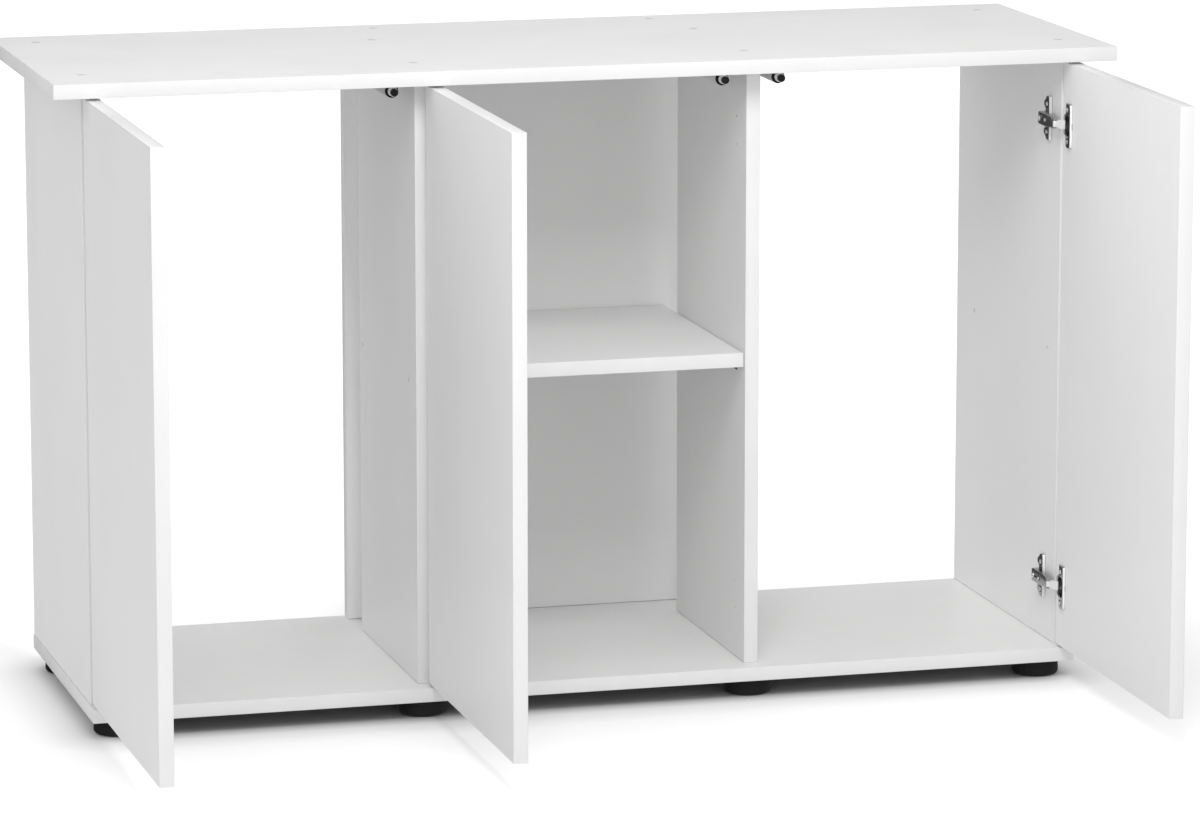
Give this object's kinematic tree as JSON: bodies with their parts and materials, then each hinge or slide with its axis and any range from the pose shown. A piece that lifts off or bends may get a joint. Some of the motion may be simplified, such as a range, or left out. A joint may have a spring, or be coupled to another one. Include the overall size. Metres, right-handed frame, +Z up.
{
  "type": "aquarium stand cabinet",
  "caption": "Low, wide aquarium cabinet in white board: overhanging top plate, bays with hinged doors and push latches, a middle shelf, open rear for hoses, round feet.",
  "frame": {"origin": "on the floor, at the centre of the rectangle that the stand takes up with its doors open", "axes": "+X to the right seen from the front, -Y to the front, where the doors are, +Z up"},
  "size_m": [1.21, 0.7575, 0.73],
  "materials": {
    "white_board": "white melamine-faced chipboard, satin, with white edging",
    "nickel": "nickel-plated pressed and cast metal",
    "black_plastic": "black moulded plastic",
    "grey_plastic": "grey moulded plastic"
  },
  "bodies": {
    "cabinet": {"top_plate": "white_board", "base_plate": "white_board", "left_side_panel": "white_board", "right_side_panel": "white_board", "left_divider": "white_board", "right_divider": "white_board", "back_panel": "white_board", "middle_shelf": "white_board", "left_upper_hinge_plate": "nickel", "left_upper_hinge_arm": "nickel", "left_upper_hinge_pin": "nickel", "left_lower_hinge_plate": "nickel", "left_lower_hinge_arm": "nickel", "left_lower_hinge_pin": "nickel", "left_latch_housing": "grey_plastic", "middle_upper_hinge_plate": "nickel", "middle_upper_hinge_arm": "nickel", "middle_upper_hinge_pin": "nickel", "middle_lower_hinge_plate": "nickel", "middle_lower_hinge_arm": "nickel", "middle_lower_hinge_pin": "nickel", "middle_latch_housing": "grey_plastic", "right_upper_hinge_plate": "nickel", "right_upper_hinge_arm": "nickel", "right_upper_hinge_pin": "nickel", "right_lower_hinge_plate": "nickel", "right_lower_hinge_arm": "nickel", "right_lower_hinge_pin": "nickel", "right_latch_housing": "grey_plastic", "foot_front_1": "black_plastic", "foot_front_2": "black_plastic", "foot_front_3": "black_plastic", "foot_front_4": "black_plastic", "foot_rear_1": "black_plastic", "foot_rear_2": "black_plastic", "foot_rear_3": "black_plastic", "foot_rear_4": "black_plastic", "shelf_pin_left_front": "black_plastic", "shelf_pin_left_rear": "black_plastic", "shelf_pin_right_front": "black_plastic", "shelf_pin_right_rear": "black_plastic"},
    "left_door": {"left_door": "white_board", "left_upper_hinge_cup": "nickel", "left_lower_hinge_cup": "nickel"},
    "left_upper_link": {"left_upper_hinge_link": "nickel"},
    "left_lower_link": {"left_lower_hinge_link": "nickel"},
    "left_plunger": {"left_latch_plunger": "black_plastic"},
    "middle_door": {"middle_door": "white_board", "middle_upper_hinge_cup": "nickel", "middle_lower_hinge_cup": "nickel"},
    "middle_upper_link": {"middle_upper_hinge_link": "nickel"},
    "middle_lower_link": {"middle_lower_hinge_link": "nickel"},
    "middle_plunger": {"middle_latch_plunger": "black_plastic"},
    "right_door": {"right_door": "white_board", "right_upper_hinge_cup": "nickel", "right_lower_hinge_cup": "nickel"},
    "right_upper_link": {"right_upper_hinge_link": "nickel"},
    "right_lower_link": {"right_lower_hinge_link": "nickel"},
    "right_plunger": {"right_latch_plunger": "black_plastic"}
  },
  "joints": [
    {"name": "left_door_hinge", "type": "hinge", "parent": "cabinet", "child": "left_door", "pos_m": [-0.56375, -0.007, 0.375], "axis": [0, 0, 1], "range_deg": [-5, 90]},
    {"name": "left_upper_link_pivot", "type": "hinge", "parent": "cabinet", "child": "left_upper_link", "pos_m": [-0.54144, -0.00323, 0.641], "axis": [0, 0, -1], "range_deg": [-5, 90]},
    {"name": "left_lower_link_pivot", "type": "hinge", "parent": "cabinet", "child": "left_lower_link", "pos_m": [-0.54144, -0.00323, 0.109], "axis": [0, 0, -1], "range_deg": [-5, 90]},
    {"name": "left_plunger_slide", "type": "slide", "parent": "cabinet", "child": "left_plunger", "axis": [0, 1, 0], "range_m": [-0.0008, 0.0124]},
    {"name": "middle_door_hinge", "type": "hinge", "parent": "cabinet", "child": "middle_door", "pos_m": [-0.18375, -0.007, 0.375], "axis": [0, 0, 1], "range_deg": [-5, 90]},
    {"name": "middle_upper_link_pivot", "type": "hinge", "parent": "cabinet", "child": "middle_upper_link", "pos_m": [-0.16144, -0.00323, 0.641], "axis": [0, 0, -1], "range_deg": [-5, 90]},
    {"name": "middle_lower_link_pivot", "type": "hinge", "parent": "cabinet", "child": "middle_lower_link", "pos_m": [-0.16144, -0.00323, 0.109], "axis": [0, 0, -1], "range_deg": [-5, 90]},
    {"name": "middle_plunger_slide", "type": "slide", "parent": "cabinet", "child": "middle_plunger", "axis": [0, 1, 0], "range_m": [-0.0008, 0.0124]},
    {"name": "right_door_hinge", "type": "hinge", "parent": "cabinet", "child": "right_door", "pos_m": [0.56375, -0.007, 0.375], "axis": [0, 0, -1], "range_deg": [-5, 89.5]},
    {"name": "right_upper_link_pivot", "type": "hinge", "parent": "cabinet", "child": "right_upper_link", "pos_m": [0.54144, -0.00323, 0.641], "axis": [0, 0, 1], "range_deg": [-5, 89.5]},
    {"name": "right_lower_link_pivot", "type": "hinge", "parent": "cabinet", "child": "right_lower_link", "pos_m": [0.54144, -0.00323, 0.109], "axis": [0, 0, 1], "range_deg": [-5, 89.5]},
    {"name": "right_plunger_slide", "type": "slide", "parent": "cabinet", "child": "right_plunger", "axis": [0, 1, 0], "range_m": [-0.0008, 0.0124]}
  ],
  "couplings": [
    {"joint": "left_upper_link_pivot", "follows": "left_door_hinge", "ratio": 1},
    {"joint": "left_lower_link_pivot", "follows": "left_door_hinge", "ratio": 1},
    {"joint": "left_plunger_slide", "follows": "left_door_hinge", "m_per_rad": 0.00783},
    {"joint": "middle_upper_link_pivot", "follows": "middle_door_hinge", "ratio": 1},
    {"joint": "middle_lower_link_pivot", "follows": "middle_door_hinge", "ratio": 1},
    {"joint": "middle_plunger_slide", "follows": "middle_door_hinge", "m_per_rad": 0.00783},
    {"joint": "right_upper_link_pivot", "follows": "right_door_hinge", "ratio": 1},
    {"joint": "right_lower_link_pivot", "follows": "right_door_hinge", "ratio": 1},
    {"joint": "right_plunger_slide", "follows": "right_door_hinge", "m_per_rad": 0.007874}
  ]
}
